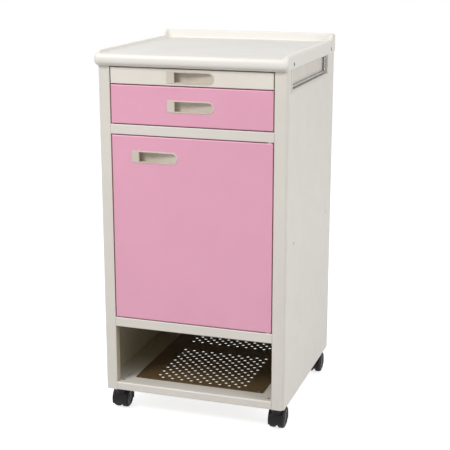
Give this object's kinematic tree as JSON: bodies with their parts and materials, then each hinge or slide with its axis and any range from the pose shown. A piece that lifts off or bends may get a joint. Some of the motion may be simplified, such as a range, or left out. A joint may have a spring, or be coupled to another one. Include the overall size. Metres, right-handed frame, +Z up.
{
  "type": "bedside cabinet",
  "caption": "Hospital bedside cabinet on twin-wheel casters: moulded top, pull-out board, drawer, hinged cupboard door, open shelf with perforated plate, side towel rails.",
  "frame": {"origin": "on the floor, under the centre of the moulded top", "axes": "+Z up, -Y towards the user's side with the drawer and door, +X to the right seen from the front"},
  "size_m": [0.456, 0.467, 0.9],
  "materials": {
    "cream_paint": "powder-coated cream, satin with a fine orange peel",
    "pink_paint": "powder-coated dusty pink, satin",
    "moulded_top": "moulded off-white plastic, fine-grained deck with smoother rims",
    "cream_moulding": "moulded cream plastic, satin",
    "dark_plate": "dark brown-black coated steel, satin",
    "zinc_steel": "bright zinc-plated steel",
    "screw_cover": "dark recessed screw heads",
    "nylon": "natural nylon",
    "rail_wire": "grey plated steel rod",
    "caster_black": "black moulded plastic, fine texture",
    "wheel_black": "black wheel with a slightly softer tread"
  },
  "bodies": {
    "carcass": {"side_panel_left": "cream_paint", "side_panel_right": "cream_paint", "back_panel": "cream_paint", "floor_pan": "cream_paint", "perforated_plate": "dark_plate", "plate_screws": "zinc_steel", "cupboard_floor": "cream_paint", "drawer_divider": "cream_paint", "pivot_bushes": "nylon", "top_stretcher": "cream_paint", "cupboard_shelf": "cream_paint", "shelf_pins": "zinc_steel", "top_board": "moulded_top", "top_screws": "screw_cover", "tray_guide_left": "zinc_steel", "tray_guide_right": "zinc_steel", "drawer_runner_left": "zinc_steel", "drawer_runner_right": "zinc_steel", "rail_housing_left": "cream_moulding", "rail_housing_right": "cream_moulding", "magnet_catch": "nylon", "caster_bolts": "zinc_steel", "caster_mount_front_left": "zinc_steel", "caster_mount_front_right": "zinc_steel", "caster_mount_rear_left": "zinc_steel", "caster_mount_rear_right": "zinc_steel"},
    "pull_out_board": {"tray_front": "cream_paint", "tray_pull": "cream_moulding", "tray_board": "cream_moulding"},
    "drawer": {"drawer_front": "pink_paint", "drawer_pull": "cream_moulding", "drawer_box": "cream_moulding", "drawer_slide_left": "zinc_steel", "drawer_slide_right": "zinc_steel"},
    "door": {"door_panel": "pink_paint", "door_liner": "pink_paint", "door_pull": "cream_moulding", "pivot_pins": "zinc_steel", "strike_plate": "zinc_steel"},
    "rail_left": {"towel_rail_left": "rail_wire"},
    "rail_right": {"towel_rail_right": "rail_wire"},
    "caster_front_left_swivel": {"caster_hood_front_left": "caster_black", "caster_axle_front_left": "zinc_steel"},
    "caster_front_left_wheel_left": {"caster_wheel_front_left_left": "wheel_black"},
    "caster_front_left_wheel_right": {"caster_wheel_front_left_right": "wheel_black"},
    "caster_front_right_swivel": {"caster_hood_front_right": "caster_black", "caster_axle_front_right": "zinc_steel"},
    "caster_front_right_wheel_left": {"caster_wheel_front_right_left": "wheel_black"},
    "caster_front_right_wheel_right": {"caster_wheel_front_right_right": "wheel_black"},
    "caster_rear_left_swivel": {"caster_hood_rear_left": "caster_black", "caster_axle_rear_left": "zinc_steel"},
    "caster_rear_left_wheel_left": {"caster_wheel_rear_left_left": "wheel_black"},
    "caster_rear_left_wheel_right": {"caster_wheel_rear_left_right": "wheel_black"},
    "caster_rear_right_swivel": {"caster_hood_rear_right": "caster_black", "caster_axle_rear_right": "zinc_steel"},
    "caster_rear_right_wheel_left": {"caster_wheel_rear_right_left": "wheel_black"},
    "caster_rear_right_wheel_right": {"caster_wheel_rear_right_right": "wheel_black"}
  },
  "joints": [
    {"name": "board_slide", "type": "slide", "parent": "carcass", "child": "pull_out_board", "axis": [0, -1, 0], "range_m": [0, 0.3]},
    {"name": "drawer_slide", "type": "slide", "parent": "carcass", "child": "drawer", "axis": [0, -1, 0], "range_m": [0, 0.28]},
    {"name": "door_hinge", "type": "hinge", "parent": "carcass", "child": "door", "pos_m": [0.185, -0.2135, 0.472], "axis": [0, 0, 1], "range_deg": [0, 105]},
    {"name": "rail_left_hinge", "type": "hinge", "parent": "carcass", "child": "rail_left", "pos_m": [-0.2182, -0.0135, 0.8479], "axis": [0, 1, 0], "range_deg": [0, 90]},
    {"name": "rail_right_hinge", "type": "hinge", "parent": "carcass", "child": "rail_right", "pos_m": [0.2182, -0.0135, 0.8479], "axis": [0, -1, 0], "range_deg": [0, 90]},
    {"name": "caster_front_left_swivel", "type": "hinge", "parent": "carcass", "child": "caster_front_left_swivel", "pos_m": [-0.2, -0.1855, 0.0683], "axis": [0, 0, 1], "continuous": true},
    {"name": "caster_front_left_wheel_left_spin", "type": "hinge", "parent": "caster_front_left_swivel", "child": "caster_front_left_wheel_left", "pos_m": [-0.2, -0.1735, 0.025], "axis": [1, 0, 0], "continuous": true},
    {"name": "caster_front_left_wheel_right_spin", "type": "hinge", "parent": "caster_front_left_swivel", "child": "caster_front_left_wheel_right", "pos_m": [-0.2, -0.1735, 0.025], "axis": [1, 0, 0], "continuous": true},
    {"name": "caster_front_right_swivel", "type": "hinge", "parent": "carcass", "child": "caster_front_right_swivel", "pos_m": [0.2, -0.1855, 0.0683], "axis": [0, 0, 1], "continuous": true},
    {"name": "caster_front_right_wheel_left_spin", "type": "hinge", "parent": "caster_front_right_swivel", "child": "caster_front_right_wheel_left", "pos_m": [0.2, -0.1735, 0.025], "axis": [1, 0, 0], "continuous": true},
    {"name": "caster_front_right_wheel_right_spin", "type": "hinge", "parent": "caster_front_right_swivel", "child": "caster_front_right_wheel_right", "pos_m": [0.2, -0.1735, 0.025], "axis": [1, 0, 0], "continuous": true},
    {"name": "caster_rear_left_swivel", "type": "hinge", "parent": "carcass", "child": "caster_rear_left_swivel", "pos_m": [-0.2, 0.1885, 0.0683], "axis": [0, 0, 1], "continuous": true},
    {"name": "caster_rear_left_wheel_left_spin", "type": "hinge", "parent": "caster_rear_left_swivel", "child": "caster_rear_left_wheel_left", "pos_m": [-0.2, 0.2005, 0.025], "axis": [1, 0, 0], "continuous": true},
    {"name": "caster_rear_left_wheel_right_spin", "type": "hinge", "parent": "caster_rear_left_swivel", "child": "caster_rear_left_wheel_right", "pos_m": [-0.2, 0.2005, 0.025], "axis": [1, 0, 0], "continuous": true},
    {"name": "caster_rear_right_swivel", "type": "hinge", "parent": "carcass", "child": "caster_rear_right_swivel", "pos_m": [0.2, 0.1885, 0.0683], "axis": [0, 0, 1], "continuous": true},
    {"name": "caster_rear_right_wheel_left_spin", "type": "hinge", "parent": "caster_rear_right_swivel", "child": "caster_rear_right_wheel_left", "pos_m": [0.2, 0.2005, 0.025], "axis": [1, 0, 0], "continuous": true},
    {"name": "caster_rear_right_wheel_right_spin", "type": "hinge", "parent": "caster_rear_right_swivel", "child": "caster_rear_right_wheel_right", "pos_m": [0.2, 0.2005, 0.025], "axis": [1, 0, 0], "continuous": true}
  ]
}
